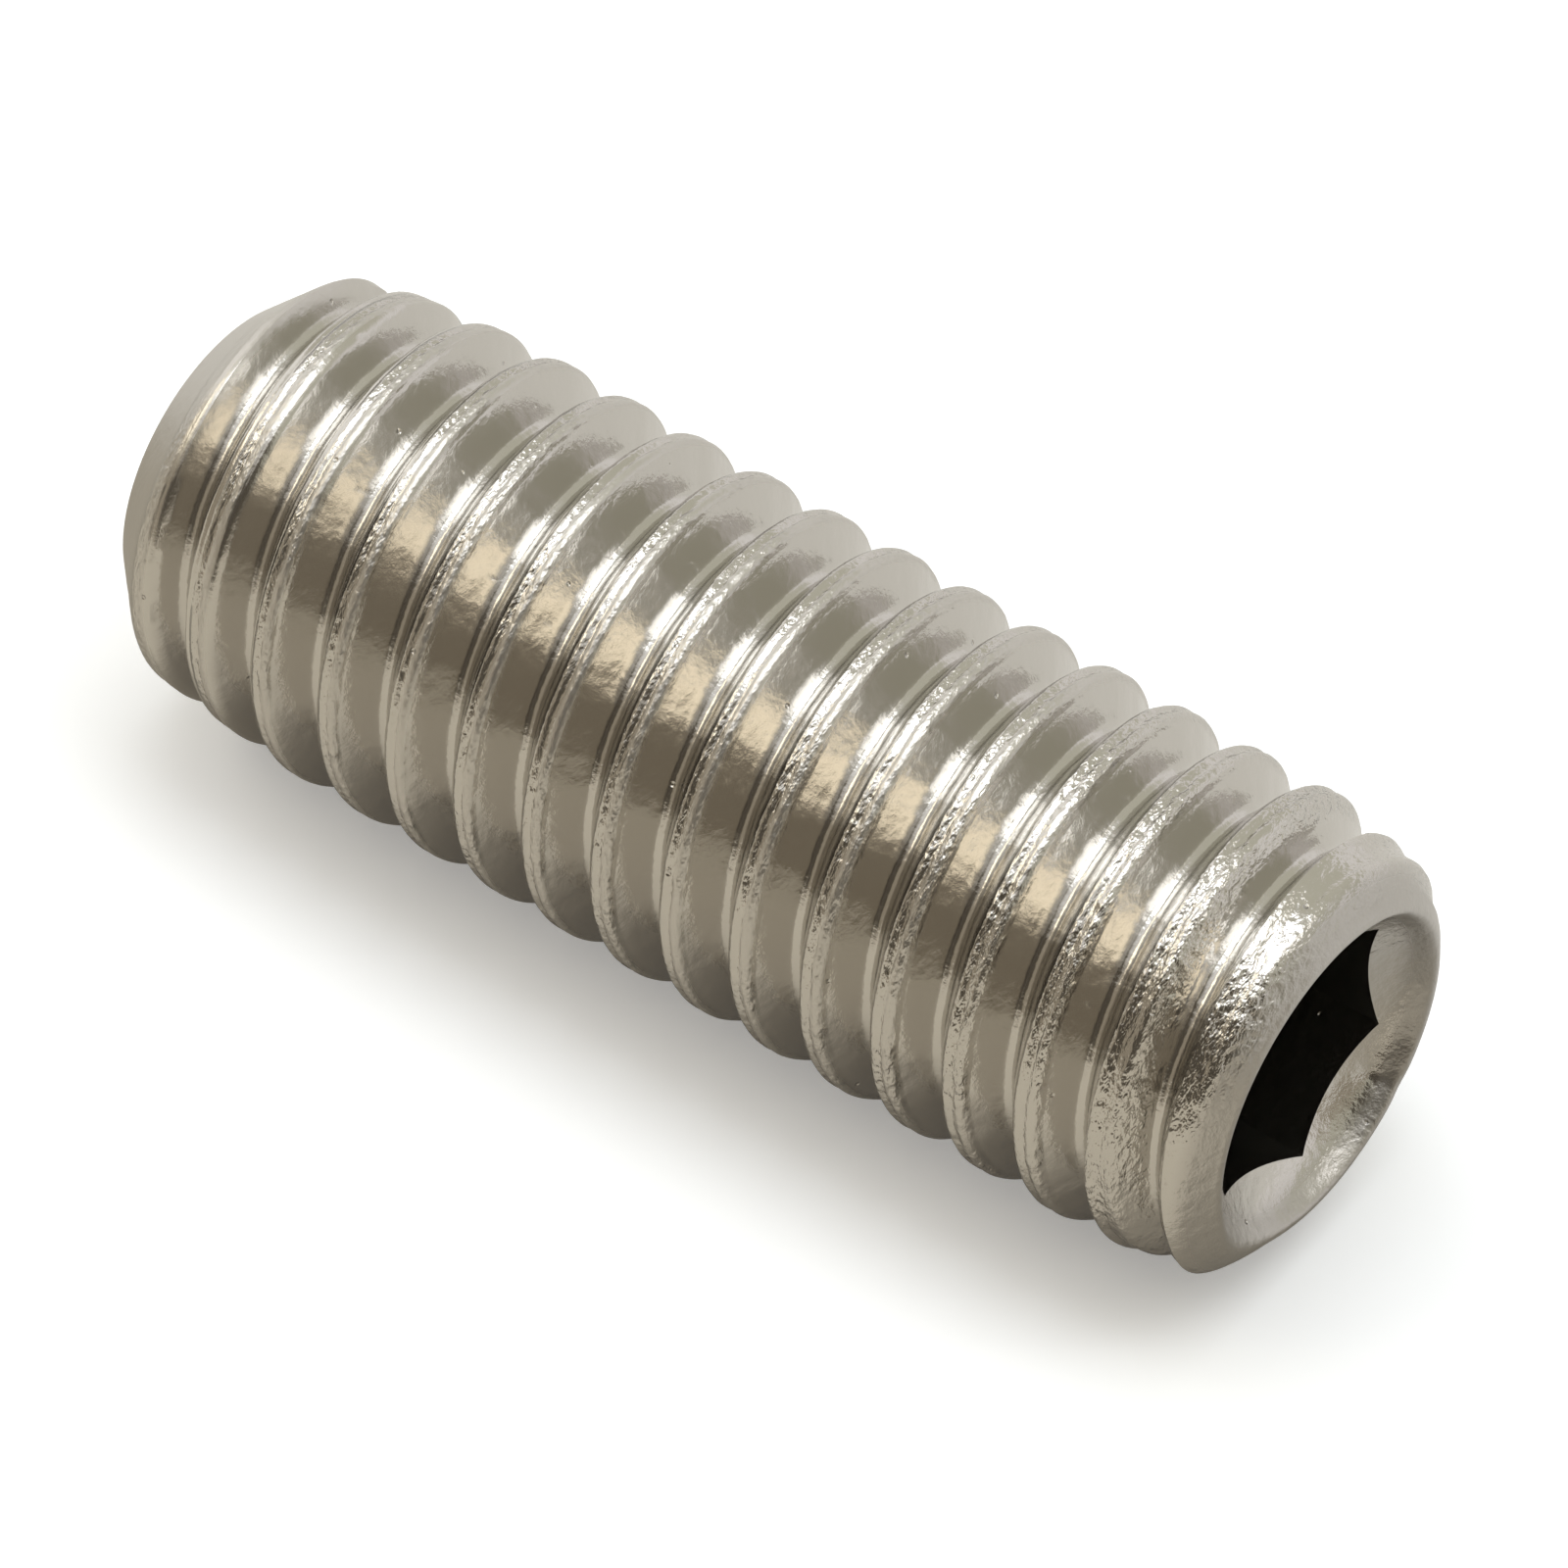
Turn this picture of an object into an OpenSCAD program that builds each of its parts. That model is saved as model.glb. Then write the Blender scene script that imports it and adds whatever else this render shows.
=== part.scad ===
// Grub set screw with a flat point, a full-length coarse thread and a hex socket.
// It stands on its point: the point end is at z = 0 and the socket opens upwards along +Z.
// All sizes are millimetres and all angles are degrees.

/* [Thread] */
// Diameter over the rolled crests
crest_d = 5.83; // [5.8:0.01:5.95]
// Axial distance from one crest to the next
pitch = 1; // [0.95:0.05:1.05]
// Width of the flat on top of each crest
crest_flat = 0.22; // [0.15:0.01:0.25]
// Radius of the rounded root between two flanks
root_radius = 0.125; // [0.1:0.005:0.14]
// Angle between the two flanks of a groove
flank_angle = 60; // [55:1:60]
// Height at which the crest crosses the +X side nearest the point
crest_start = 0.873; // [0.7:0.001:0.9]
// How much lower the crest stands at the point end, where the rolling dies took their first bite
lead_drop = 0.28; // [0.2:0.01:0.35]
// Length over which the crest rises to full height
lead_length = 2.9; // [2.5:0.1:4]

/* [Body] */
// Length over both ends
length = 16; // [12:1:18]

/* [Point end] */
// Diameter of the flat point face
point_d = 4; // [3.7:0.05:4]
// Chamfer angle of the point, measured from its face
point_chamfer_angle = 45; // [40:1:50]

/* [Socket end] */
// Angle to the axis at which the last crests fall away towards the end
end_taper_angle = 15; // [12:1:20]
// Diameter of the shoulder where that taper meets the end chamfer
shoulder_d = 5.2; // [5.1:0.05:5.4]
// Chamfer angle of the end, measured from its face
end_chamfer_angle = 35; // [30:1:40]
// Outer diameter of the narrow flat rim
rim_d = 4.32; // [4.25:0.01:4.4]
// Width of that rim
rim_width = 0.06; // [0.04:0.01:0.1]
// Depth of the steep lip inside the rim
lip_depth = 0.28; // [0.2:0.01:0.35]
// Width of that lip
lip_width = 0.11; // [0.08:0.01:0.15]
// Included angle of the shallow dish between the lip and the hexagon
dish_angle = 120; // [115:1:125]
// Hexagon width across flats
socket_af = 3.02; // [3.01:0.005:3.08]
// Depth of the hexagon's flats below the rim
socket_depth = 3.5; // [3:0.1:4]
// Diameter of the drilled pilot that leaves a cone under the hexagon
pilot_d = 2.9; // [2.5:0.05:2.95]
// Included angle of that cone
pilot_tip_angle = 120; // [110:5:130]

/* [Facets] */
// Facets in one turn of the thread
thread_steps = 36; // [24:4:40]
// Chords along the rounded root
root_chords = 4; // [3:1:4]
// Facets of the turned ends
turned_steps = 96; // [48:12:120]

/* [Hidden] */

// Flank half angle, and the depth at which the two flanks of a groove would meet
flank_half = flank_angle / 2;
crest_half = crest_flat / 2;
groove_depth = (pitch / 2 - crest_half) / tan(flank_half);

// The root arc touches both flanks
root_centre = groove_depth - root_radius / sin(flank_half);
root_span = 90 - flank_half;

// Turns are counted from below the point end to above the socket end
run_out = 1.25;
helix_base = crest_start - 3 * pitch;
turns = ceil((length + run_out - helix_base) / pitch) + 1;
last_step = turns * thread_steps;
points_per_pitch = root_chords + 3;

// Stock that the ends are turned from, clear of the crests
stock_clear = 0.3;
stock_r = crest_d / 2 + stock_clear;

// Shortfall of the crest at height z
function lead(z) = lead_drop * max(0, 1 - max(0, z) / lead_length);

// Depth below a full crest, and place along the axis, of point k of the profile.
// Point 0 and the last one are the crest's edges, and those between run round the root.
function root_turn(k) = root_span * (2 * (k - 1) / root_chords - 1);
function depth_at(k, z) = k == 0 || k == points_per_pitch - 1
    ? lead(z)
    : root_centre + root_radius * cos(root_turn(k));
function along_at(k, z) = k == 0
    ? crest_half + lead(z) * tan(flank_half)
    : k == points_per_pitch - 1
    ? pitch - crest_half - lead(z) * tan(flank_half)
    : pitch / 2 + root_radius * sin(root_turn(k));

// Height of the helix at step i, and point k of the profile there
function helix_z(i) = helix_base + pitch * i / thread_steps;
function thread_point(i, k) =
    let (z = helix_z(i), r = crest_d / 2 - depth_at(k, z), a = 360 * i / thread_steps)
    [r * cos(a), r * sin(a), z + along_at(k, z)];

// The body inside the thread: a strip of facets wound up the helix, closed by a fan at each end
module threaded_bar() {
    m = points_per_pitch;
    n = thread_steps;
    rows = last_step - n;
    shell = [for (i = [0 : last_step], k = [0 : m - 1]) thread_point(i, k)];
    low_apex = len(shell);
    high_apex = low_apex + 1;
    apexes = [[0, 0, helix_z(0) - pitch], [0, 0, helix_z(last_step) + pitch]];
    strip = [
        for (i = [0 : rows - 1], k = [0 : m - 1])
            let (
                a = i * m + k,
                b = a + m,
                c = k < m - 1 ? b + 1 : (i + 1 + n) * m,
                d = k < m - 1 ? a + 1 : (i + n) * m
            )
            each [[a, c, b], [a, d, c]]
    ];
    low_fan = [for (i = [0 : n - 1]) [low_apex, i * m, (i + 1) * m]];
    low_step = [
        for (k = [0 : m - 1])
            [low_apex, k < m - 1 ? k + 1 : n * m, k]
    ];
    high_fan = [for (i = [rows : last_step - 1]) [high_apex, (i + 1) * m, i * m]];
    high_step = [
        for (k = [0 : m - 1])
            [high_apex, rows * m + k, k < m - 1 ? rows * m + k + 1 : last_step * m]
    ];
    polyhedron(concat(shell, apexes), concat(strip, low_fan, low_step, high_fan, high_step));
}

// Turned outline: flat point, chamfered ends, and the dish around the socket
module turned_blank() {
    point_r = point_d / 2;
    shoulder_r = shoulder_d / 2;
    rim_r = rim_d / 2;
    dish_r = rim_r - rim_width - lip_width;
    shoulder_z = length - (shoulder_r - rim_r) * tan(end_chamfer_angle);
    dish_z = length - lip_depth;
    rotate_extrude($fn = turned_steps)
        polygon([
            [0, 0],
            [point_r, 0],
            [stock_r, (stock_r - point_r) * tan(point_chamfer_angle)],
            [stock_r, shoulder_z - (stock_r - shoulder_r) / tan(end_taper_angle)],
            [shoulder_r, shoulder_z],
            [rim_r, length],
            [rim_r - rim_width, length],
            [dish_r, dish_z],
            [0, dish_z - dish_r * tan(90 - dish_angle / 2)]
        ]);
}

// Hexagon and the drilled cone under it
module socket() {
    pilot_r = pilot_d / 2;
    pilot_rise = pilot_r * tan(90 - pilot_tip_angle / 2);
    translate([0, 0, length - socket_depth])
        cylinder(h = socket_depth, d = socket_af / cos(30), $fn = 6);
    translate([0, 0, length - socket_depth - pilot_rise])
        cylinder(h = pilot_rise, r1 = 0, r2 = pilot_r, $fn = turned_steps);
}

module set_screw() {
    color("silver")
        intersection() {
            threaded_bar();
            difference() {
                turned_blank();
                socket();
            }
        }
}

set_screw();
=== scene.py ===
import math

import bmesh
import bpy
import numpy as np
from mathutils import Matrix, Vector, noise


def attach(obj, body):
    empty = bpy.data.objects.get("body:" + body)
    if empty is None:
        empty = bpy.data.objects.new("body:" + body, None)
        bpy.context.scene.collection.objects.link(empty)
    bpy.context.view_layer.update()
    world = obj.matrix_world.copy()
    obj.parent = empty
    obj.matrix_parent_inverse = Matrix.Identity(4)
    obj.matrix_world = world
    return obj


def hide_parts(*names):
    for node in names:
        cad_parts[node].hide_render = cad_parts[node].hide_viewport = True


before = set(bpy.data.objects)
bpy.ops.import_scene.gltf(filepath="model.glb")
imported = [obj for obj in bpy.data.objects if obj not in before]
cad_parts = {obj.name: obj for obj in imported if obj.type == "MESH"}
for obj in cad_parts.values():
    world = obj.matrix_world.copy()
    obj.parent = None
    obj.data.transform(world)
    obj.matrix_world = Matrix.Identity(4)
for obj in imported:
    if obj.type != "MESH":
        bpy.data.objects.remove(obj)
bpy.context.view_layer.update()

bl_info = {
    "name": "Grub set screw",
    "version": (1, 0, 0),
    "blender": (4, 5, 0),
    "location": "3D View > Sidebar > Set Screw",
    "description": "A rolled stainless grub set screw with a flat point and a hex socket, and its studio",
    "category": "Add Mesh",
}

MM = 0.001
NODE = "set_screw"


def linear(code):
    """A linear RGBA colour from an sRGB hex code."""
    parts = [int(code[k:k + 2], 16) / 255 for k in (0, 2, 4)]
    return tuple(c / 12.92 if c <= 0.04045 else ((c + 0.055) / 1.055) ** 2.4 for c in parts) + (1.0,)


def length_of(name, description, size):
    return bpy.props.FloatProperty(name=name, description=description, default=size * MM, min=0.0,
                                   precision=6, unit="LENGTH")


def angle_of(name, description, degrees):
    return bpy.props.FloatProperty(name=name, description=description, default=math.radians(degrees),
                                   subtype="ANGLE")


def colour_of(name, description, code):
    return bpy.props.FloatVectorProperty(name=name, description=description, default=linear(code)[:3],
                                         min=0.0, max=1.0, size=3, subtype="COLOR")


class ScrewSizes(bpy.types.PropertyGroup):
    """Sizes of the thread and of both ends"""

    total: length_of("Length", "Length over both ends", 16.0)
    crest_diameter: length_of("Crest diameter", "Diameter over the rolled crests", 5.83)
    pitch: length_of("Pitch", "Distance from one crest to the next", 1.0)
    crest_start: length_of("First crest", "Height at which the crest crosses the +X side", 0.873)
    root_depth: length_of("Groove depth", "Depth of the rounded root under a full crest", 0.55)
    root_radius: length_of("Root radius", "Radius of the rounded root between two flanks", 0.12)
    flank_half: angle_of("Flank half angle", "Slope of each flank of a groove", 30.0)
    ridge_low: length_of("Ridge at point", "Half the distance between a crest's two ridges at the point", 0.07)
    ridge_high: length_of("Ridge at socket", "The same half distance at the socket end", 0.095)
    seam_low: length_of("Seam at point", "Depth of the seam between the ridges at the point", 0.016)
    seam_high: length_of("Seam at socket", "Depth of that seam at the socket end", 0.034)
    wear: length_of("Crest wear", "How much lower the crests stand towards the socket end", 0.03)
    lead_drop: length_of("Lead drop", "How much lower the crest stands at the point end", 0.28)
    lead_length: length_of("Lead length", "Length over which the crest rises to full height", 2.9)
    point_diameter: length_of("Point diameter", "Diameter of the flat point", 4.0)
    point_chamfer: angle_of("Point chamfer", "Chamfer of the point, from its face", 45.0)
    end_taper: angle_of("End taper", "Slope at which the last crests fall away", 15.0)
    shoulder_diameter: length_of("Shoulder diameter", "Where the taper meets the end chamfer", 5.2)
    end_chamfer: angle_of("End chamfer", "Chamfer of the socket end, from its face", 35.0)
    rim_diameter: length_of("Rim diameter", "Outer diameter of the narrow rim", 4.32)
    lip_swelling: length_of("Lip swelling", "How far the rim is pushed out on the +X side", 0.13)
    dent_depth: length_of("Dent depth", "Depth of the small dent struck in the dish", 0.06)
    socket_flats: length_of("Socket across flats", "Hexagon across flats", 3.02)
    socket_depth: length_of("Socket depth", "Depth of the flats below the rim", 3.5)
    pilot_diameter: length_of("Pilot diameter", "Diameter of the cone under the hexagon", 2.9)


class ScrewFinish(bpy.types.PropertyGroup):
    """Colours of the steel and of the paper under it; the socket walls, the struck end and the paper's tones are
    painted shade and light
    """

    steel: colour_of("Steel", "Bare rolled stainless steel", "C8C5C0")
    # Struck end: the steel darkened, a painted shade for the socket end's darker look; the end's dullness itself is in
    # its roughness
    struck: colour_of("Struck end", "The duller steel of the struck socket end", "B9B6B2")
    # Socket walls: a painted shade, the steel painted dark for the shade deep in the hexagon
    socket: colour_of("Socket walls", "Punched walls, dark with drawing soap", "2B2823")
    sheet: colour_of("Sheet", "White of the paper as the camera's exposure takes it", "EFF2F6")
    # The paper's three tones are painted light and shade, as the steel shows them: a painted shade greyer in front, a
    # painted shadow under the screw and a painted light on the pale back
    sheet_front_painted_shade: colour_of("Sheet in front", "Front of the graduated paper, as the steel shows it", "CEC8BC")
    sheet_painted_shadow: colour_of("Sheet under screw", "Its darker middle, close under the screw", "A09A8E")
    sheet_back_painted_light: colour_of("Sheet behind", "Its pale back", "D9D8D7")


# How far each worked edge is rounded over
CREST_ROUNDING = 0.11 * MM
LEAD_ROUNDING = 0.07 * MM
SHOULDER_ROUNDING = 0.12 * MM
TAPER_ROUNDING = 0.05 * MM
POINT_ROUNDING = 0.1 * MM

# Where the points of the profile lie across half a pitch, close together at the crest and the root
ACROSS = [0.0, 0.021, 0.042, 0.063, 0.084, 0.106, 0.128, 0.15, 0.18, 0.23, 0.3, 0.37, 0.40, 0.43, 0.465, 0.5]
TURN_STEPS = 144

# How near two points are welded or told apart: along the wound strip, along a cut, and round an open ring
STRIP_WELD = 0.001 * MM
CUT_WELD = 0.002 * MM
CUT_NEAR = 0.0001 * MM
RING_NEAR = 0.003 * MM

# The rolling dies' slip: how far the seam wanders across the crest, how the crest heaves, and how many waves each has
# to the millimetre round the screw
SEAM_WANDER = 0.012 * MM
WANDER_WAVES = (1.7, 4.3)
CREST_HEAVE = 0.006 * MM
HEAVE_WAVES = (1.1, 3.1)
HEAVE_REACH = 0.15 * MM
RIDGE_HEAVE = 0.08

# The crests are worn over this part of the length, and this far across
WEAR_START = 9 * MM
WEAR_LENGTH = 4 * MM
WEAR_REACH = 0.25 * MM

# The seam's half width at the point, what it gains to the socket, and what a cut crest adds to it
SEAM_HALF = 0.05 * MM
SEAM_GAIN = 0.04 * MM
CUT_GAIN = 0.9
DEEPEST_CUT = 0.3 * MM

# How torn the seam's floor is, and the size of its noise pattern: a turn's radius, the step from one turn to the next,
# and a millimetre across the crest
SEAM_TEAR = 0.9
TEARS_ROUND, TEARS_ALONG, TEARS_ACROSS = 9, 7, 9

# The seam grows in over this length from the point, and fades out this far below the rim over this length
SEAM_START = 1.5 * MM
SEAM_STOP = 0.3 * MM
SEAM_FADE = 0.15 * MM

# Rings of the point's face, each as a share of the one before
POINT_RINGS = (0.97, 0.5)

# Rings of the socket end, in millimetres: how far inside the rim's outer edge, and how far below its top
RIM_START = 0.045
RIM_RINGS = [(-0.035, 0.025), (-0.01, 0.01), (0.018, 0.0015), (0.045, 0.0), (0.07, 0.01), (0.1, 0.04),
             (0.135, 0.095), (0.175, 0.16), (0.22, 0.225), (0.28, 0.29), (0.36, 0.355), (0.44, 0.415),
             (0.56, 0.49), (1.16, 0.85)]
DISH_SLOPE = math.radians(30)

# The struck side of the rim: its bearing and spread, how far down and in it reaches, and how softly
SWELLING_BEARING = math.radians(3)
SWELLING_SPREAD = math.radians(17)
SWELLING_DOWN, SWELLING_DOWN_SOFT = 0.75 * MM, 0.5 * MM
SWELLING_IN, SWELLING_IN_SOFT = 1.9 * MM, 0.2 * MM

# The dent in the dish: its place, its radius, and the depth of end that it can touch
DENT_PLACE = (-0.36 * MM, 1.93 * MM)
DENT_RADIUS = 0.16 * MM
DENT_DOWN = 0.6 * MM

# How far the punch stands out of the end, and the bounds within which a face belongs to the socket
PUNCH_OVER = 1 * MM
SOCKET_REACH = 1.75 * MM
SOCKET_TOP = 1 * MM
HALF_CORNER = math.radians(30)

# Edges that turn by more than this stay sharp
SHARP_EDGE = math.radians(35)


def blend_min(a, b, width):
    """The lower of a and b, rounded where they are closer than width."""
    share = np.clip(0.5 + 0.5 * (b - a) / width, 0.0, 1.0)
    return b + (a - b) * share - width * share * (1.0 - share)


def blend_max(a, b, width):
    """The higher of a and b, rounded in the same way."""
    return -blend_min(-a, -b, width)


def groove(across, ridge, sizes):
    """Depth below the crests at a distance across from the crest's middle: a round root and straight flanks."""
    slope = math.tan(sizes.flank_half)
    radius = sizes.root_radius
    reach = radius * math.cos(sizes.flank_half)
    from_root = sizes.pitch / 2 - np.abs(across)
    arc = sizes.root_depth - radius + np.sqrt(np.clip(radius ** 2 - from_root ** 2, 0.0, None))
    straight = sizes.root_depth - radius * (1 - math.sin(sizes.flank_half)) - (from_root - reach) / slope
    depth = np.where(from_root < reach, arc, straight)
    shoulder = (np.abs(across) - ridge) / slope
    return blend_max(np.minimum(depth, shoulder), 0.0, CREST_ROUNDING)


def select_only(obj):
    bpy.ops.object.select_all(action="DESELECT")
    obj.select_set(True)
    bpy.context.view_layer.objects.active = obj


def edit(obj):
    """Edit mode with nothing selected."""
    select_only(obj)
    bpy.ops.object.mode_set(mode="EDIT")
    bpy.ops.mesh.select_all(action="DESELECT")


def leave():
    bpy.ops.object.mode_set(mode="OBJECT")


def apply_modifier(obj, kind, **settings):
    select_only(obj)
    modifier = obj.modifiers.new(kind.title(), kind)
    for name, value in settings.items():
        setattr(modifier, name, value)
    bpy.ops.object.modifier_apply(modifier=modifier.name)


def points_of(obj):
    points = np.empty(len(obj.data.vertices) * 3)
    obj.data.vertices.foreach_get("co", points)
    return points.reshape(-1, 3)


def set_points(obj, points):
    obj.data.vertices.foreach_set("co", np.ascontiguousarray(points, dtype=np.float32).ravel())
    obj.data.update()


def wind_thread(sizes):
    """One pitch of profile, extruded point by point and wound up the screw."""
    across = np.array([-a for a in ACROSS[:0:-1]] + ACROSS) * sizes.pitch
    radius = sizes.crest_diameter / 2 - groove(across, (sizes.ridge_low + sizes.ridge_high) / 2, sizes)
    base = sizes.crest_start - 2 * sizes.pitch
    bpy.ops.object.select_all(action="DESELECT")
    bpy.ops.mesh.primitive_plane_add(size=sizes.pitch, location=(0, 0, 0))
    obj = bpy.context.object
    edit(obj)
    bpy.ops.mesh.select_all(action="SELECT")
    bpy.ops.mesh.merge(type="CENTER")
    bpy.ops.transform.translate(value=(radius[0], 0, base + across[0]))
    for k in range(1, len(across)):
        step = (radius[k] - radius[k - 1], 0, across[k] - across[k - 1])
        bpy.ops.mesh.extrude_vertices_move(TRANSFORM_OT_translate={"value": step})
    leave()
    turns = math.ceil(sizes.total / sizes.pitch) + 3
    apply_modifier(obj, "SCREW", axis="Z", angle=math.tau, screw_offset=sizes.pitch, iterations=turns,
                   steps=TURN_STEPS, render_steps=TURN_STEPS, use_normal_calculate=True)
    edit(obj)
    bpy.ops.mesh.select_all(action="SELECT")
    bpy.ops.mesh.remove_doubles(threshold=STRIP_WELD)
    leave()
    return obj


def helix_place(points, sizes):
    """For each point: its angle, its distance across from the nearest crest, and the turns wound up to it."""
    turn = np.arctan2(points[:, 1], points[:, 0]) / math.tau
    rise = (points[:, 2] - sizes.crest_start) / sizes.pitch - turn
    whole = np.floor(rise + 0.5)
    return turn * math.tau, (rise - whole) * sizes.pitch, whole + turn


def die_slip(turns):
    """How the seam wanders and how the crest heaves at each point, alike for all points at one step of the helix."""
    steps = np.round(turns * TURN_STEPS).astype(int)
    low = steps.min()
    wander, heave = np.empty((2, steps.max() - low + 1))
    crest = 3.0
    elsewhere = Vector((9, 4, 2))
    for k in range(len(wander)):
        turn = (k + low) / TURN_STEPS
        at = Vector((math.cos(turn * math.tau) * crest, math.sin(turn * math.tau) * crest, turn * crest))
        wander[k] = noise.noise(at * WANDER_WAVES[0]) + 0.6 * noise.noise(at * WANDER_WAVES[1])
        heave[k] = noise.noise(at * HEAVE_WAVES[0] + elsewhere) + 0.5 * noise.noise(at * HEAVE_WAVES[1])
    return wander[steps - low], heave[steps - low]


def end_outlines(height, sizes):
    """Radius of the turned outline at each height, for the point and for the socket end."""
    shoulder_r, rim_r = sizes.shoulder_diameter / 2, sizes.rim_diameter / 2
    shoulder_z = sizes.total - (shoulder_r - rim_r) * math.tan(sizes.end_chamfer)
    taper = shoulder_r + (shoulder_z - height) * math.tan(sizes.end_taper)
    chamfer = rim_r + (sizes.total - height) / math.tan(sizes.end_chamfer)
    point_side = sizes.point_diameter / 2 + height * math.tan(sizes.point_chamfer)
    return point_side, blend_min(taper, chamfer, SHOULDER_ROUNDING)


def form_thread(obj, sizes):
    """Works the plain thread into the rolled one: ridges, lead, worn crests, torn seam and both turned ends."""
    points = points_of(obj)
    angle, across, turns = helix_place(points, sizes)
    height = points[:, 2]
    crest_r = sizes.crest_diameter / 2
    share = np.clip(height / sizes.total, 0.0, 1.0)
    wander, heave = die_slip(turns)
    point_side, socket_side = end_outlines(height, sizes)

    ridge = sizes.ridge_low + (sizes.ridge_high - sizes.ridge_low) * share
    middle = across - SEAM_WANDER * wander
    depth = groove(middle, ridge * (1.0 + RIDGE_HEAVE * heave), sizes)
    depth = depth + CREST_HEAVE * heave * np.exp(-(across / HEAVE_REACH) ** 2)
    lead = sizes.lead_drop * np.clip(1.0 - np.clip(height, 0, None) / sizes.lead_length, 0.0, 1.0)
    depth = blend_max(depth, lead, LEAD_ROUNDING)
    radius = blend_min(crest_r - depth, socket_side, TAPER_ROUNDING)
    radius = blend_min(radius, point_side, POINT_ROUNDING)

    worn = sizes.wear * np.clip((height - WEAR_START) / WEAR_LENGTH, 0.0, 1.0)
    radius = radius - worn * np.exp(-(across / WEAR_REACH) ** 4)

    # The seam is wider where an end cuts the crest down, and fades out at both ends
    cut = np.clip(crest_r - np.minimum(socket_side, point_side), 0.0, DEEPEST_CUT)
    half_seam = SEAM_HALF + SEAM_GAIN * share + CUT_GAIN * cut * math.tan(sizes.flank_half)
    trough = np.clip(1.0 - (middle / half_seam) ** 2, 0.0, None)
    fade_out = np.clip((sizes.total - SEAM_STOP - height) / SEAM_FADE, 0.0, 1.0)
    fade = fade_out * np.clip(height / SEAM_START, 0.0, 1.0)
    torn = np.zeros(len(points))
    for k in np.nonzero((trough > 0) & (height > 0) & (height < sizes.total))[0]:
        turn = turns[k] * math.tau
        along = turns[k] * TEARS_ALONG + middle[k] / MM * TEARS_ACROSS
        torn[k] = noise.noise(Vector((math.cos(turn) * TEARS_ROUND, math.sin(turn) * TEARS_ROUND, along)))
    seam = sizes.seam_low + (sizes.seam_high - sizes.seam_low) * share
    tear = SEAM_TEAR * trough * torn * np.clip(0.7 + heave, 0.3, 1.4)
    radius = radius - seam * (trough ** 2 + tear) * fade

    points[:, 0] = radius * np.cos(angle)
    points[:, 1] = radius * np.sin(angle)
    set_points(obj, points)


def pick_open_ring(obj, height):
    """Edit mode with the open edges at that height selected."""
    edit(obj)
    bpy.ops.mesh.select_mode(type="EDGE")
    mesh = bmesh.from_edit_mesh(obj.data)
    found = False
    for edge in mesh.edges:
        in_ring = len(edge.link_faces) == 1 and all(abs(v.co.z - height) < RING_NEAR for v in edge.verts)
        edge.select_set(in_ring)
        found = found or in_ring
    bmesh.update_edit_mesh(obj.data)
    if not found:
        raise RuntimeError("the cut end has no open edge")


def cut_ends(obj, sizes):
    """Cuts both ends square, closes the point, and draws the rim and the dish of the socket end ring by ring."""
    rim_r = sizes.rim_diameter / 2
    last_z = sizes.total - RIM_START * MM
    edit(obj)
    bpy.ops.mesh.select_all(action="SELECT")
    bpy.ops.mesh.bisect(plane_co=(0, 0, 0), plane_no=(0, 0, 1), clear_inner=True, threshold=CUT_NEAR)
    bpy.ops.mesh.select_all(action="SELECT")
    bpy.ops.mesh.bisect(plane_co=(0, 0, last_z), plane_no=(0, 0, 1), clear_outer=True,
                        threshold=CUT_NEAR)
    bpy.ops.mesh.select_all(action="SELECT")
    bpy.ops.mesh.remove_doubles(threshold=CUT_WELD)
    leave()

    pick_open_ring(obj, 0.0)
    for share in POINT_RINGS:
        bpy.ops.mesh.extrude_edges_move(TRANSFORM_OT_translate={"value": (0, 0, 0)})
        bpy.ops.transform.resize(value=(share, share, 1), center_override=(0, 0, 0))
    bpy.ops.mesh.extrude_edges_move(TRANSFORM_OT_translate={"value": (0, 0, 0)})
    bpy.ops.mesh.merge(type="CENTER")
    leave()

    pick_open_ring(obj, last_z)
    radius = rim_r + RIM_START * MM / math.tan(sizes.end_chamfer)
    depth = RIM_START
    for inside, below in RIM_RINGS:
        ring = rim_r - inside * MM
        bpy.ops.mesh.extrude_edges_move(TRANSFORM_OT_translate={"value": (0, 0, (depth - below) * MM)})
        bpy.ops.transform.resize(value=(ring / radius, ring / radius, 1), center_override=(0, 0, 0))
        radius, depth = ring, below
    bpy.ops.mesh.extrude_edges_move(TRANSFORM_OT_translate={"value": (0, 0, -radius * math.tan(DISH_SLOPE))})
    bpy.ops.mesh.merge(type="CENTER")
    bpy.ops.mesh.select_all(action="SELECT")
    bpy.ops.mesh.normals_make_consistent(inside=False)
    leave()


def strike_end(obj, sizes):
    """What handling did to the socket end: a rim swollen on one side, and a small dent in the dish."""
    points = points_of(obj)
    angle = np.arctan2(points[:, 1], points[:, 0])
    radius = np.hypot(points[:, 0], points[:, 1])
    near = np.exp(-((angle - SWELLING_BEARING) / SWELLING_SPREAD) ** 2)
    high = np.clip((points[:, 2] - sizes.total + SWELLING_DOWN) / SWELLING_DOWN_SOFT, 0.0, 1.0)
    outer = np.clip((radius - SWELLING_IN) / SWELLING_IN_SOFT, 0.0, 1.0)
    radius = radius + sizes.lip_swelling * near * high * outer
    points[:, 0] = radius * np.cos(angle)
    points[:, 1] = radius * np.sin(angle)
    away = np.hypot(points[:, 0] - DENT_PLACE[0], points[:, 1] - DENT_PLACE[1])
    dent = np.exp(-(away / DENT_RADIUS) ** 2)
    points[:, 2] -= sizes.dent_depth * dent * (points[:, 2] > sizes.total - DENT_DOWN)
    set_points(obj, points)


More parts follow.
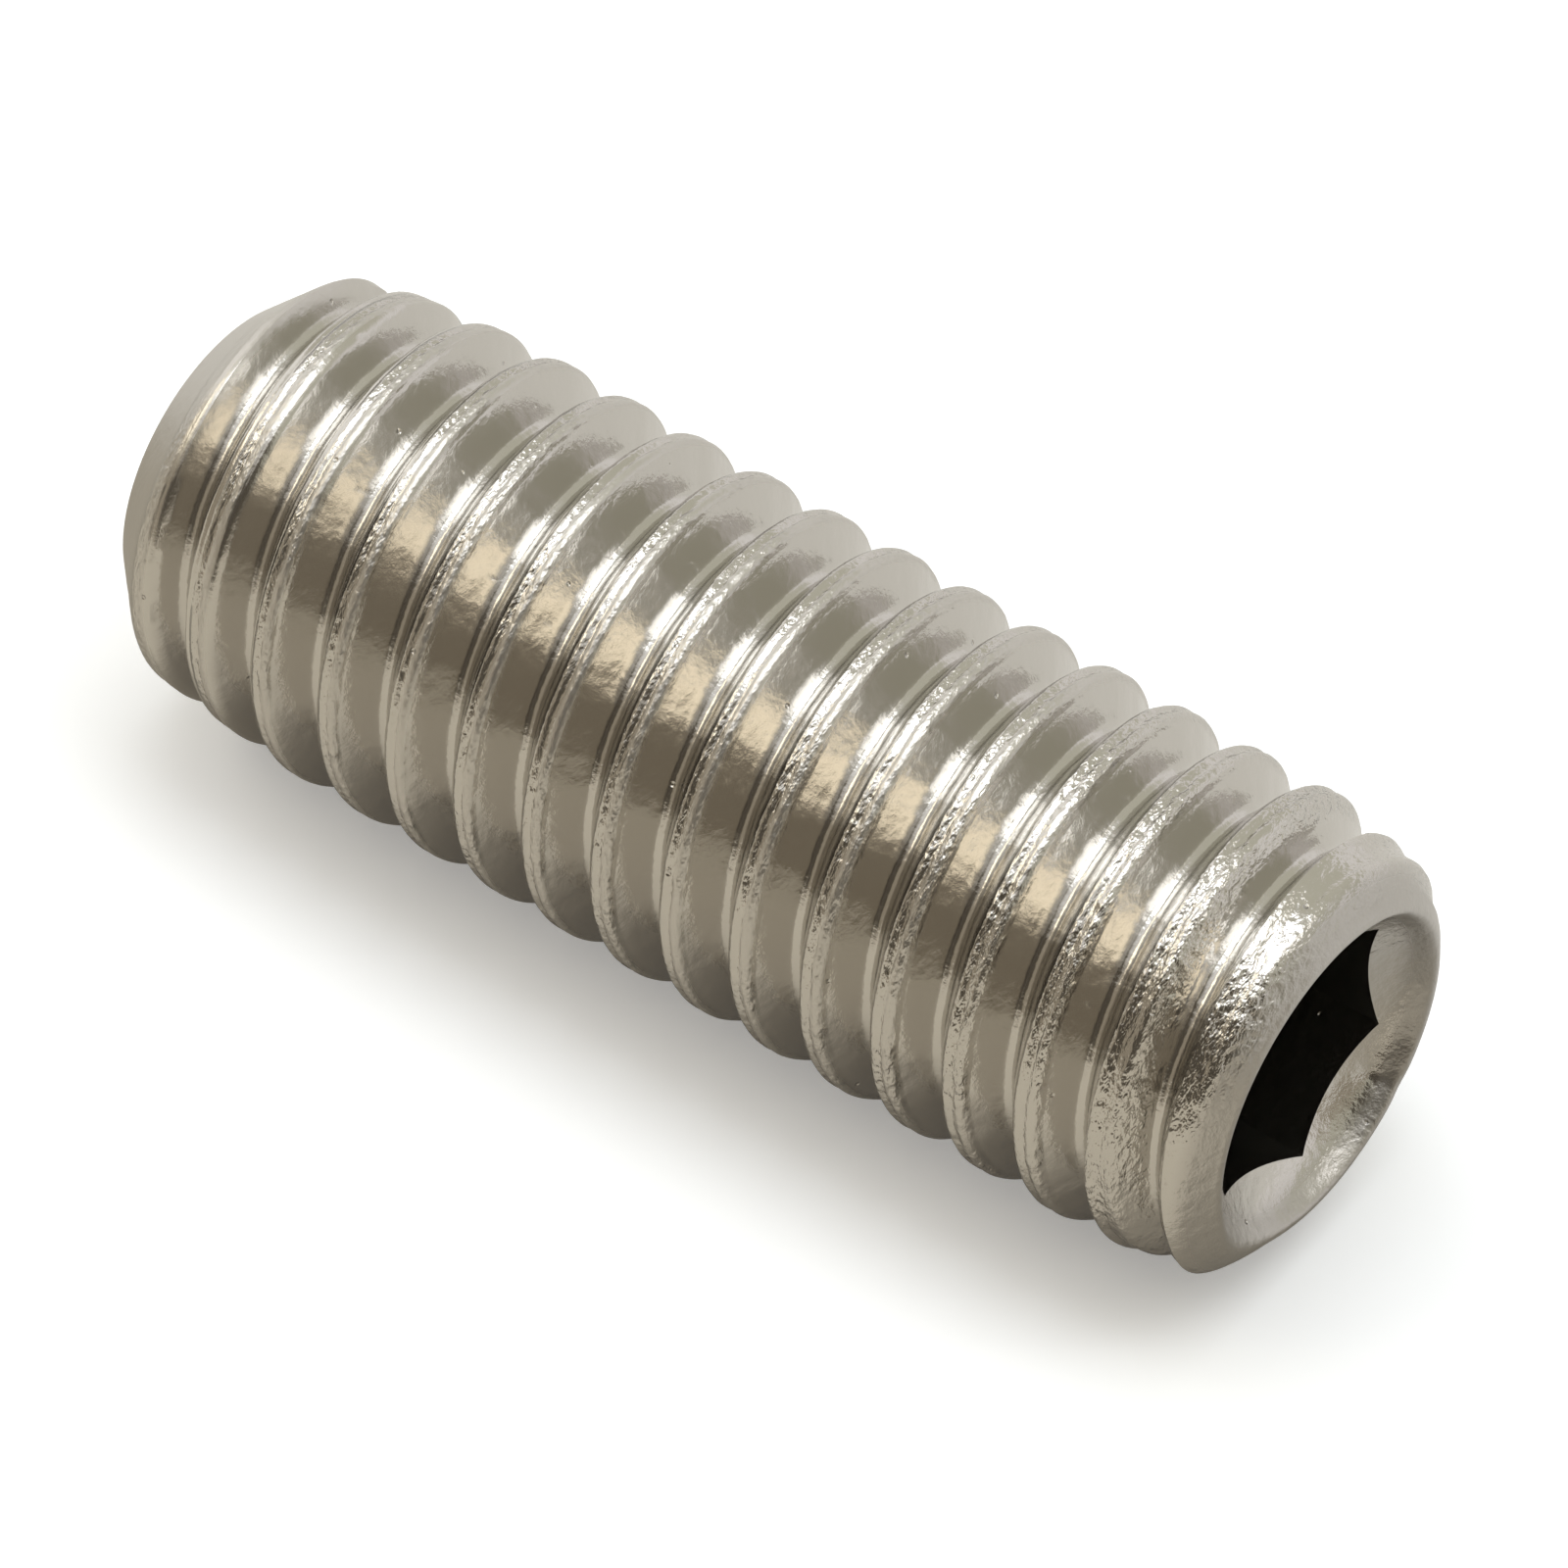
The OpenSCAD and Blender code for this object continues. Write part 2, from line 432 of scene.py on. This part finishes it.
def punch_socket(obj, sizes):
    """The hexagon and the cone under it, cut with one punch."""
    corner = sizes.socket_flats / 2 / math.cos(HALF_CORNER)
    middle = sizes.total + (PUNCH_OVER - sizes.socket_depth) / 2
    bpy.ops.object.select_all(action="DESELECT")
    bpy.ops.mesh.primitive_cylinder_add(vertices=6, radius=corner, depth=sizes.socket_depth + PUNCH_OVER,
                                        location=(0, 0, middle), rotation=(0, 0, HALF_CORNER))
    punch = bpy.context.object
    bpy.ops.object.transform_apply(location=True, rotation=True, scale=True)
    edit(punch)
    bpy.ops.mesh.select_mode(type="FACE")
    mesh = bmesh.from_edit_mesh(punch.data)
    for face in mesh.faces:
        face.select_set(face.normal.z < -0.9)
    bmesh.update_edit_mesh(punch.data)
    bpy.ops.mesh.inset(thickness=(sizes.socket_flats - sizes.pilot_diameter) / 2)
    cone = sizes.pilot_diameter / 2 * math.tan(DISH_SLOPE)
    bpy.ops.mesh.extrude_region_move(TRANSFORM_OT_translate={"value": (0, 0, -cone)})
    bpy.ops.mesh.merge(type="CENTER")
    bpy.ops.mesh.select_all(action="SELECT")
    bpy.ops.mesh.normals_make_consistent(inside=False)
    leave()
    apply_modifier(obj, "BOOLEAN", object=punch, operation="DIFFERENCE", solver="EXACT")
    bpy.data.objects.remove(punch)


def add_node(tree, kind, inputs=None, **settings):
    """A node of that kind with its settings. Each input takes a value, or a link from another node's output."""
    node = tree.nodes.new(kind)
    for name, value in settings.items():
        setattr(node, name, value)
    for name, value in (inputs or {}).items():
        if isinstance(value, bpy.types.NodeSocket):
            tree.links.new(value, node.inputs[name])
        else:
            node.inputs[name].default_value = value
    return node


def new_material(name):
    material = bpy.data.materials.new(name)
    material.use_nodes = True
    material.node_tree.nodes.clear()
    return material, material.node_tree


# The torn band on each crest, in shares of the pitch: half its width at the point and at the socket, where the last
# turn starts below the end, what the band gains over it and on its upper side, and its soft edge
BAND_HALF = (0.07, 0.12)
LAST_TURN = 1.6
BAND_LAST_TURN = 0.2
BAND_UPPER = 0.3
BAND_EDGE = (-0.01, 0.035)

# Tears in that band: how many to the millimetre and how they are drawn out round the screw, the patches that they
# come in, their depth, and how much deeper they are from the middle of the screw to the socket
TEARS = 11.0
TEAR_SHAPE = (0.6, 0.6, 1.5)
TEAR_PATCHES = 0.8
TEAR_DEPTH = 0.022 * MM
TEAR_GAIN = (2.0, 2.6)

# Orange peel and pits: how many to the millimetre, their depths, and how much coarser they are on the struck end
PEEL = 5.0
PITS = 1.7
PIT_DEPTH = 1.2
PEEL_DEPTH = 0.011 * MM
PEEL_ON_END = 2.2

# Roughness: the least that the dies leave, the flanks by the point and further on, both sides of a crest, and what is
# left of that by the socket, and the dull ends
PRESSED_ROUGH = 0.17
FLANK_ROUGH = (0.215, 0.165)
CREST_ROUGH = (0.03, 0.2)
CREST_ROUGH_BY_SOCKET = 0.2
DULL_ROUGH = 0.36


def place_on_screw(tree, sizes):
    """The place on the screw in millimetres, whole and in parts, and the way across from the nearest crest, in
    pitches."""
    place = add_node(tree, "ShaderNodeTexCoord").outputs["Object"]
    place = add_node(tree, "ShaderNodeVectorMath", {0: place, "Scale": 1 / MM}, operation="SCALE").outputs[0]
    x, y, z = add_node(tree, "ShaderNodeSeparateXYZ", {0: place}).outputs
    turn = add_node(tree, "ShaderNodeMath", {0: y, 1: x}, operation="ARCTAN2").outputs[0]
    rise = add_node(tree, "ShaderNodeMath", {0: z, 1: MM / sizes.pitch, 2: 0.5 - sizes.crest_start / sizes.pitch},
                    operation="MULTIPLY_ADD").outputs[0]
    rise = add_node(tree, "ShaderNodeMath", {0: turn, 1: -1 / math.tau, 2: rise},
                    operation="MULTIPLY_ADD").outputs[0]
    across = add_node(tree, "ShaderNodeMath", {0: rise}, operation="FRACT").outputs[0]
    across = add_node(tree, "ShaderNodeMath", {0: across, 1: 0.5}, operation="SUBTRACT").outputs[0]
    return place, x, y, z, across


def torn_band(tree, sizes, x, y, z, across):
    """1 on the torn band of each crest and 0 beside it.

    It widens towards the socket, most of all over the last turn and on its upper side, and stops short of the rim and
    the dish."""
    total = sizes.total / MM
    band = add_node(tree, "ShaderNodeMapRange", {0: z, 1: 0.0, 2: total, 3: BAND_HALF[0], 4: BAND_HALF[1]}).outputs[0]
    last_turn = add_node(tree, "ShaderNodeMath", {0: z, 1: total - LAST_TURN}, operation="SUBTRACT").outputs[0]
    last_turn = add_node(tree, "ShaderNodeMath", {0: last_turn, 1: 0.0}, operation="MAXIMUM").outputs[0]
    band = add_node(tree, "ShaderNodeMath", {0: last_turn, 1: BAND_LAST_TURN, 2: band},
                    operation="MULTIPLY_ADD").outputs[0]
    upper = add_node(tree, "ShaderNodeMath", {0: across, 1: 0.0}, operation="MAXIMUM").outputs[0]
    band = add_node(tree, "ShaderNodeMath", {0: upper, 1: BAND_UPPER, 2: band}, operation="MULTIPLY_ADD").outputs[0]
    aside = add_node(tree, "ShaderNodeMath", {0: across}, operation="ABSOLUTE").outputs[0]
    past = add_node(tree, "ShaderNodeMath", {0: aside, 1: band}, operation="SUBTRACT").outputs[0]
    crest = add_node(tree, "ShaderNodeMapRange", {0: past, 1: BAND_EDGE[0], 2: BAND_EDGE[1], 3: 1.0, 4: 0.0},
                     interpolation_type="SMOOTHSTEP").outputs[0]

    below_rim = add_node(tree, "ShaderNodeMapRange", {0: z, 1: total - 0.13, 2: total - 0.04, 3: 1.0, 4: 0.0},
                         interpolation_type="SMOOTHSTEP").outputs[0]
    crest_height = add_node(tree, "ShaderNodeMath", {0: z, 1: across}, operation="SUBTRACT").outputs[0]
    whole_crest = add_node(tree, "ShaderNodeMapRange",
                           {0: crest_height, 1: total - 0.3, 2: total - 0.1, 3: 1.0, 4: 0.0},
                           interpolation_type="SMOOTHSTEP").outputs[0]
    square = add_node(tree, "ShaderNodeMath", {0: x, 1: x}, operation="MULTIPLY").outputs[0]
    square = add_node(tree, "ShaderNodeMath", {0: y, 1: y, 2: square}, operation="MULTIPLY_ADD").outputs[0]
    rim_square = (sizes.rim_diameter / 2 / MM + 0.02) ** 2
    outside = add_node(tree, "ShaderNodeMath", {0: square, 1: rim_square}, operation="GREATER_THAN").outputs[0]
    for limit in (below_rim, whole_crest, outside):
        crest = add_node(tree, "ShaderNodeMath", {0: crest, 1: limit}, operation="MULTIPLY").outputs[0]
    return crest


def steel_relief(tree, sizes, place, z, crest):
    """The steel's fine relief: tears 0.15 mm long in the crests, and over it all an orange peel 0.2 mm across with a
    few pits."""
    total = sizes.total / MM
    drawn_out = add_node(tree, "ShaderNodeVectorMath", {0: place, 1: TEAR_SHAPE}, operation="MULTIPLY").outputs[0]
    torn = add_node(tree, "ShaderNodeTexNoise", {"Vector": drawn_out, "Scale": TEARS, "Detail": 2.0,
                                                 "Roughness": 0.55}).outputs[0]
    patches = add_node(tree, "ShaderNodeTexNoise", {"Vector": place, "Scale": TEAR_PATCHES, "Detail": 1.0}).outputs[0]
    patches = add_node(tree, "ShaderNodeMapRange", {0: patches, 1: 0.4, 2: 0.6, 3: 0.35, 4: 1.0}).outputs[0]
    deeper = add_node(tree, "ShaderNodeMapRange",
                      {0: z, 1: total - 9.0, 2: total - 1.0, 3: TEAR_GAIN[0], 4: TEAR_GAIN[1]},
                      interpolation_type="SMOOTHSTEP").outputs[0]
    for amount in (crest, patches, deeper):
        torn = add_node(tree, "ShaderNodeMath", {0: torn, 1: amount}, operation="MULTIPLY").outputs[0]
    torn = add_node(tree, "ShaderNodeBump", {"Height": torn, "Strength": 1.0, "Distance": TEAR_DEPTH}).outputs[0]

    peel = add_node(tree, "ShaderNodeTexNoise", {"Vector": place, "Scale": PEEL, "Detail": 4.0,
                                                 "Roughness": 0.6}).outputs[0]
    pits = add_node(tree, "ShaderNodeTexVoronoi", {"Vector": place, "Scale": PITS}).outputs["Distance"]
    pits = add_node(tree, "ShaderNodeMapRange", {0: pits, 1: 0.02, 2: 0.07, 3: -PIT_DEPTH, 4: 0.0},
                    interpolation_type="SMOOTHSTEP").outputs[0]
    peel = add_node(tree, "ShaderNodeMath", {0: peel, 1: pits}, operation="ADD").outputs[0]
    coarser = add_node(tree, "ShaderNodeMapRange", {0: z, 1: total - 0.6, 2: total - 0.2, 3: 1.0, 4: PEEL_ON_END},
                       interpolation_type="SMOOTHSTEP").outputs[0]
    peel = add_node(tree, "ShaderNodeMath", {0: peel, 1: coarser}, operation="MULTIPLY").outputs[0]
    return add_node(tree, "ShaderNodeBump", {"Height": peel, "Normal": torn, "Strength": 1.0,
                                             "Distance": PEEL_DEPTH}).outputs[0]


def steel_roughness(tree, sizes, z, across, crest):
    """Dull on both ends, a little rougher than the rest on the flanks by the point and on the upper side of the
    crests."""
    total = sizes.total / MM
    dull_end = add_node(tree, "ShaderNodeMapRange",
                        {0: z, 1: total - 0.3, 2: total - 0.16, 3: PRESSED_ROUGH, 4: DULL_ROUGH},
                        interpolation_type="SMOOTHSTEP").outputs[0]
    dull_point = add_node(tree, "ShaderNodeMapRange", {0: z, 1: 0.5, 2: 1.2, 3: DULL_ROUGH, 4: PRESSED_ROUGH},
                          interpolation_type="SMOOTHSTEP").outputs[0]
    flank = add_node(tree, "ShaderNodeMapRange", {0: z, 1: 0.0, 2: 8.0, 3: FLANK_ROUGH[0], 4: FLANK_ROUGH[1]},
                     interpolation_type="SMOOTHSTEP").outputs[0]
    upper_side = add_node(tree, "ShaderNodeMapRange",
                          {0: across, 1: 0.0, 2: 0.05, 3: CREST_ROUGH[0], 4: CREST_ROUGH[1]},
                          interpolation_type="SMOOTHSTEP").outputs[0]
    by_socket = add_node(tree, "ShaderNodeMapRange", {0: z, 1: 10.5, 2: 14.0, 3: 1.0, 4: CREST_ROUGH_BY_SOCKET},
                         interpolation_type="SMOOTHSTEP").outputs[0]
    upper_side = add_node(tree, "ShaderNodeMath", {0: upper_side, 1: by_socket}, operation="MULTIPLY").outputs[0]
    rough = add_node(tree, "ShaderNodeMath", {0: crest, 1: upper_side, 2: flank}, operation="MULTIPLY_ADD").outputs[0]
    for end in (dull_end, dull_point):
        rough = add_node(tree, "ShaderNodeMath", {0: rough, 1: end}, operation="MAXIMUM").outputs[0]
    return rough


def rolled_steel(sizes, finish):
    """Austenitic stainless steel, cold-rolled between dies and left as it came off them.

    The flanks are pressed bright, with a faint orange peel that breaks up what they mirror. The crests are never
    pressed, so they are torn and sparkle. The struck socket end and the turned point are duller, and the socket end's
    colour is the steel darkened, a painted shade."""
    material, tree = new_material("cold_rolled_stainless_steel")
    place, x, y, z, across = place_on_screw(tree, sizes)
    crest = torn_band(tree, sizes, x, y, z, across)
    total = sizes.total / MM
    # The socket end's colour turns to the darker struck colour, a painted shade
    struck = add_node(tree, "ShaderNodeMapRange", {0: z, 1: total - 0.4, 2: total - 0.2},
                      interpolation_type="SMOOTHSTEP").outputs[0]
    colour = add_node(tree, "ShaderNodeMix", {0: struck, 6: (*finish.steel, 1), 7: (*finish.struck, 1)},
                      data_type="RGBA").outputs[2]
    shader = add_node(tree, "ShaderNodeBsdfPrincipled", {
        "Base Color": colour,
        "Metallic": 1.0,
        "Roughness": steel_roughness(tree, sizes, z, across, crest),
        "Normal": steel_relief(tree, sizes, place, z, crest),
    })
    add_node(tree, "ShaderNodeOutputMaterial", {"Surface": shader.outputs["BSDF"]})
    return material


def socket_walls_painted_dark(finish):
    """The same steel, punched: draw marks run down the walls, and their colour is painted dark, a painted shade for
    the depth of the socket.
    """
    material, tree = new_material("punched_socket_painted_dark")
    place = add_node(tree, "ShaderNodeTexCoord").outputs["Object"]
    # Marks 0.1 mm across and 2 mm long
    place = add_node(tree, "ShaderNodeVectorMath", {0: place, 1: (10 / MM, 10 / MM, 0.5 / MM)},
                     operation="MULTIPLY").outputs[0]
    marks = add_node(tree, "ShaderNodeTexNoise", {"Vector": place, "Scale": 1.0, "Detail": 2.0}).outputs[0]
    rough = add_node(tree, "ShaderNodeMapRange", {0: marks, 1: 0.3, 2: 0.7, 3: 0.42, 4: 0.58}).outputs[0]
    bump = add_node(tree, "ShaderNodeBump", {"Height": marks, "Strength": 1.0, "Distance": 0.01 * MM}).outputs[0]
    # The walls' dark colour is painted shade for the depth of the socket
    shader = add_node(tree, "ShaderNodeBsdfPrincipled", {"Base Color": (*finish.socket, 1), "Metallic": 1.0,
                                                         "Roughness": rough, "Normal": bump})
    add_node(tree, "ShaderNodeOutputMaterial", {"Surface": shader.outputs["BSDF"]})
    return material


class SETSCREW_OT_screw(bpy.types.Operator):
    """Model the screw in one piece, in place of the plain solid"""

    bl_idname = "set_screw.make_screw"
    bl_label = "Set screw"

    def execute(self, context):
        sizes, finish = context.scene.set_screw_sizes, context.scene.set_screw_finish
        obj = wind_thread(sizes)
        form_thread(obj, sizes)
        cut_ends(obj, sizes)
        strike_end(obj, sizes)
        punch_socket(obj, sizes)
        obj.name = obj.data.name = "rolled_set_screw"
        obj.data.materials.clear()
        obj.data.materials.append(rolled_steel(sizes, finish))
        obj.data.materials.append(socket_walls_painted_dark(finish))
        for face in obj.data.polygons:
            x, y, z = face.center
            in_socket = math.hypot(x, y) < SOCKET_REACH and sizes.total / 2 < z < sizes.total - SOCKET_TOP
            face.material_index = int(in_socket)
        select_only(obj)
        bpy.ops.object.shade_smooth_by_angle(angle=SHARP_EDGE)
        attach(obj, "root")
        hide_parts(NODE)
        return {"FINISHED"}


# Where the camera stood, its turn and its lens, fitted to the thread, the hexagon and both rims
CAMERA_AT = (4.1956, -116.6807, 59.838)
CAMERA_TURN = (-48.2166, -52.7299, 146.5688)
CAMERA_LENS = 253.366

# The screw lies on the sheet, so up from the sheet is square to the screw's axis
SHEET_FACING = math.radians(-124.51)
SHEET_UP = Vector((math.cos(SHEET_FACING), math.sin(SHEET_FACING), 0))
SHEET_SIDE = Vector((0, 0, 1))
SHEET_AWAY = SHEET_UP.cross(SHEET_SIDE)
SHEET_SIZE = 1000 * MM
SHEET_GAP = 0.003 * MM
MIDDLE = Vector((0, 0, 8 * MM))

# Each light or wall of the room: bearing from and to, height from and to, softness (degrees), and its light.
# A bearing of 0 is straight behind the screw, 90 is its socket side, -90 its point side and 180 the camera's side.
ROOM = {
    "back_wall": (-52, 100, 14, 60, 8, (0.66, 0.645, 0.54)),
    "lit_wall_foot": (-62, 72, -12, 17, 6, (0.98, 0.95, 0.93)),
    "dark_corner": (99, 210, 2, 49, 5, (0.1, 0.085, 0.065)),
    "point_side_window": (-96, -56, 2, 50, 5, (1.25, 1.22, 1.17)),
    "high_wall": (-96, -40, 51, 64, 4, (0.64, 0.63, 0.55)),
    "low_window": (-146, -96, 41, 61, 3, (2.75, 2.5, 2.0)),
    "socket_side_lamp": (48, 82, 43, 74, 4, (2.1, 2.05, 1.97)),
}
DIM_SIDE = (0.37, 0.32, 0.245)
CEILING = (1.05, 1.05, 1.03)
CEILING_EDGE = (36, 82)
BELOW = (0.3, 0.29, 0.28)
BELOW_EDGE = (0, -4)


def studio_world():
    """A dim room with a grey back wall, windows on the screw's point side, a lamp on its socket side and a pale
    ceiling. The steel takes its look from this room, and only the camera sees white in its place."""
    world = bpy.data.worlds.new("studio")
    world.use_nodes = True
    tree = world.node_tree
    tree.nodes.clear()
    facing = add_node(tree, "ShaderNodeTexCoord").outputs["Generated"]
    up, away, side = (
        add_node(tree, "ShaderNodeVectorMath", {0: facing, 1: axis}, operation="DOT_PRODUCT").outputs["Value"]
        for axis in (SHEET_UP, SHEET_AWAY, SHEET_SIDE)
    )
    bearing = add_node(tree, "ShaderNodeMath", {0: side, 1: away}, operation="ARCTAN2").outputs[0]
    height = add_node(tree, "ShaderNodeMath", {0: up}, operation="ARCSINE").outputs[0]

    low, high = map(math.radians, CEILING_EDGE)
    share = add_node(tree, "ShaderNodeMapRange", {0: height, 1: low, 2: high},
                     interpolation_type="SMOOTHSTEP").outputs[0]
    room = add_node(tree, "ShaderNodeMix", {0: share, 6: (*DIM_SIDE, 1), 7: (*CEILING, 1)},
                    data_type="RGBA").outputs[2]
    for start, stop, low, high, soft, light in ROOM.values():
        edges = ((bearing, start - soft, start + soft), (bearing, stop + soft, stop - soft),
                 (height, low - soft, low + soft), (height, high + soft, high - soft))
        share = 1.0
        for value, none, full in edges:
            edge = add_node(tree, "ShaderNodeMapRange", {0: value, 1: math.radians(none), 2: math.radians(full)},
                            interpolation_type="SMOOTHSTEP").outputs[0]
            share = add_node(tree, "ShaderNodeMath", {0: share, 1: edge}, operation="MULTIPLY").outputs[0]
        room = add_node(tree, "ShaderNodeMix", {0: share, 6: room, 7: (*light, 1)}, data_type="RGBA").outputs[2]
    low, high = map(math.radians, BELOW_EDGE)
    share = add_node(tree, "ShaderNodeMapRange", {0: height, 1: low, 2: high},
                     interpolation_type="SMOOTHSTEP").outputs[0]
    room = add_node(tree, "ShaderNodeMix", {0: share, 6: room, 7: (*BELOW, 1)}, data_type="RGBA").outputs[2]

    light = add_node(tree, "ShaderNodeBackground", {"Color": room, "Strength": 1.0})
    white = add_node(tree, "ShaderNodeBackground", {"Color": (1, 1, 1, 1), "Strength": 1.0})
    seen = add_node(tree, "ShaderNodeLightPath").outputs["Is Camera Ray"]
    mixed = add_node(tree, "ShaderNodeMixShader", {0: seen, 1: light.outputs[0], 2: white.outputs[0]})
    add_node(tree, "ShaderNodeOutputWorld", {"Surface": mixed.outputs[0]})
    return world


# How far behind the screw's line the paper turns from its front tone, a painted shade, to the middle one, a painted
# shadow under the screw, and from that to pale, a painted light
PAINTED_SHADOW_FRONT = (-3.9 * MM, -2.6 * MM)
PAINTED_SHADOW_BACK = (-1 * MM, 5 * MM)
# The white that the exposure lays over the paper for the camera, and what of it the steel shows
PAPER_LIFT = 0.26
STEEL_LIFT = 0.06


def paper_with_painted_shade(finish):
    """Matt paper with painted light and shade for the steel to show: greyer in front, a painted shade, darkest along
    the screw's line, a painted shadow, and pale behind the screw, a painted light, while the camera's exposure takes
    it all to white. It is clear from behind, so that it hides nothing from the back."""
    material, tree = new_material("matt_paper_painted_shade")
    place = add_node(tree, "ShaderNodeTexCoord").outputs["Object"]
    away = add_node(tree, "ShaderNodeVectorMath", {0: place, 1: SHEET_AWAY}, operation="DOT_PRODUCT").outputs["Value"]
    # The paper's tone is painted: shade in front, shadow under the screw, light behind
    tone = (*finish.sheet_front_painted_shade, 1)
    for (start, stop), next_tone in ((PAINTED_SHADOW_FRONT, finish.sheet_painted_shadow), (PAINTED_SHADOW_BACK, finish.sheet_back_painted_light)):
        share = add_node(tree, "ShaderNodeMapRange", {0: away, 1: start, 2: stop},
                         interpolation_type="SMOOTHSTEP").outputs[0]
        tone = add_node(tree, "ShaderNodeMix", {0: share, 6: tone, 7: (*next_tone, 1)}, data_type="RGBA").outputs[2]
    ray = add_node(tree, "ShaderNodeLightPath").outputs
    tone = add_node(tree, "ShaderNodeMix", {0: ray["Is Camera Ray"], 6: tone, 7: (*finish.sheet, 1)},
                    data_type="RGBA").outputs[2]
    shown = add_node(tree, "ShaderNodeMath", {0: ray["Is Glossy Ray"], 1: ray["Is Transmission Ray"]},
                     operation="MAXIMUM").outputs[0]
    shown = add_node(tree, "ShaderNodeMath", {0: shown, 1: STEEL_LIFT}, operation="MULTIPLY").outputs[0]
    lift = add_node(tree, "ShaderNodeMath", {0: ray["Is Camera Ray"], 1: PAPER_LIFT, 2: shown},
                    operation="MULTIPLY_ADD").outputs[0]
    paper = add_node(tree, "ShaderNodeBsdfDiffuse", {"Color": tone})
    white = add_node(tree, "ShaderNodeEmission", {"Color": (1, 1, 1, 1), "Strength": lift})
    paper = add_node(tree, "ShaderNodeAddShader", {0: paper.outputs[0], 1: white.outputs[0]})
    clear = add_node(tree, "ShaderNodeBsdfTransparent")
    behind = add_node(tree, "ShaderNodeNewGeometry").outputs["Backfacing"]
    mixed = add_node(tree, "ShaderNodeMixShader", {0: behind, 1: paper.outputs[0], 2: clear.outputs[0]})
    add_node(tree, "ShaderNodeOutputMaterial", {"Surface": mixed.outputs[0]})
    return material


# The soft lamp overhead: its bearing and height, its size across and along the screw, its distance and its light
LAMP_BEARING = math.radians(35)
LAMP_HEIGHT = math.radians(83)
LAMP_SIZE = (120 * MM, 230 * MM)
LAMP_DISTANCE = 250 * MM
LAMP_RADIANCE = 2.7
LAMP_COLOUR = (0.95, 0.98, 1.0)


def add_lamp(scene):
    """The soft lamp, facing the screw's middle."""
    level = SHEET_AWAY * math.cos(LAMP_BEARING) + SHEET_SIDE * math.sin(LAMP_BEARING)
    facing = level * math.cos(LAMP_HEIGHT) + SHEET_UP * math.sin(LAMP_HEIGHT)
    light = bpy.data.lights.new("overhead_softbox", "AREA")
    light.shape = "RECTANGLE"
    light.size, light.size_y = LAMP_SIZE
    light.energy = LAMP_RADIANCE * math.pi * LAMP_SIZE[0] * LAMP_SIZE[1]
    light.color = LAMP_COLOUR
    lamp = bpy.data.objects.new("overhead_softbox", light)
    lamp.location = MIDDLE + facing * LAMP_DISTANCE
    lamp.rotation_euler = facing.to_track_quat("Z", "Y").to_euler()
    lamp.visible_camera = False
    scene.collection.objects.link(lamp)


def add_camera(scene):
    """The camera, where the photograph's stood."""
    camera = bpy.data.cameras.new("photograph_view")
    camera.lens = CAMERA_LENS
    camera.sensor_width = 36
    camera.clip_start = 0.01
    camera.clip_end = 10
    holder = bpy.data.objects.new("photograph_view", camera)
    holder.location = Vector(CAMERA_AT) * MM
    holder.rotation_euler = [math.radians(a) for a in CAMERA_TURN]
    scene.collection.objects.link(holder)
    scene.camera = holder


class SETSCREW_OT_stage(bpy.types.Operator):
    """Add the sheet that the screw lies against, the soft studio light and the camera"""

    bl_idname = "set_screw.make_stage"
    bl_label = "Stage"

    def execute(self, context):
        scene = context.scene
        under = MIDDLE - SHEET_UP * (scene.set_screw_sizes.crest_diameter / 2 + SHEET_GAP)
        bpy.ops.object.select_all(action="DESELECT")
        level = SHEET_UP.to_track_quat("Z", "Y").to_euler()
        bpy.ops.mesh.primitive_plane_add(size=SHEET_SIZE, location=under, rotation=level)
        sheet = context.object
        bpy.ops.object.transform_apply(location=True, rotation=True, scale=True)
        sheet.name = sheet.data.name = "white_sheet"
        sheet.data.materials.append(paper_with_painted_shade(scene.set_screw_finish))
        scene.world = studio_world()
        add_lamp(scene)
        add_camera(scene)
        scene.view_settings.view_transform = "Standard"
        return {"FINISHED"}


class SETSCREW_PT_panel(bpy.types.Panel):
    """Lists the screw's operators, sizes and colours"""

    bl_label = "Set Screw"
    bl_idname = "SETSCREW_PT_panel"
    bl_space_type = "VIEW_3D"
    bl_region_type = "UI"
    bl_category = "Set Screw"

    def draw(self, context):
        layout = self.layout
        layout.operator(SETSCREW_OT_screw.bl_idname)
        layout.operator(SETSCREW_OT_stage.bl_idname)
        for group in (context.scene.set_screw_sizes, context.scene.set_screw_finish):
            column = layout.column(align=True)
            for name in group.__annotations__:
                column.prop(group, name)


CLASSES = (ScrewSizes, ScrewFinish, SETSCREW_OT_screw, SETSCREW_OT_stage, SETSCREW_PT_panel)


def register():
    for cls in CLASSES:
        bpy.utils.register_class(cls)
    bpy.types.Scene.set_screw_sizes = bpy.props.PointerProperty(type=ScrewSizes)
    bpy.types.Scene.set_screw_finish = bpy.props.PointerProperty(type=ScrewFinish)


def unregister():
    del bpy.types.Scene.set_screw_finish
    del bpy.types.Scene.set_screw_sizes
    for cls in reversed(CLASSES):
        bpy.utils.unregister_class(cls)


def main():
    register()
    bpy.ops.set_screw.make_screw()
    bpy.ops.set_screw.make_stage()


if __name__ == "__main__":
    main()
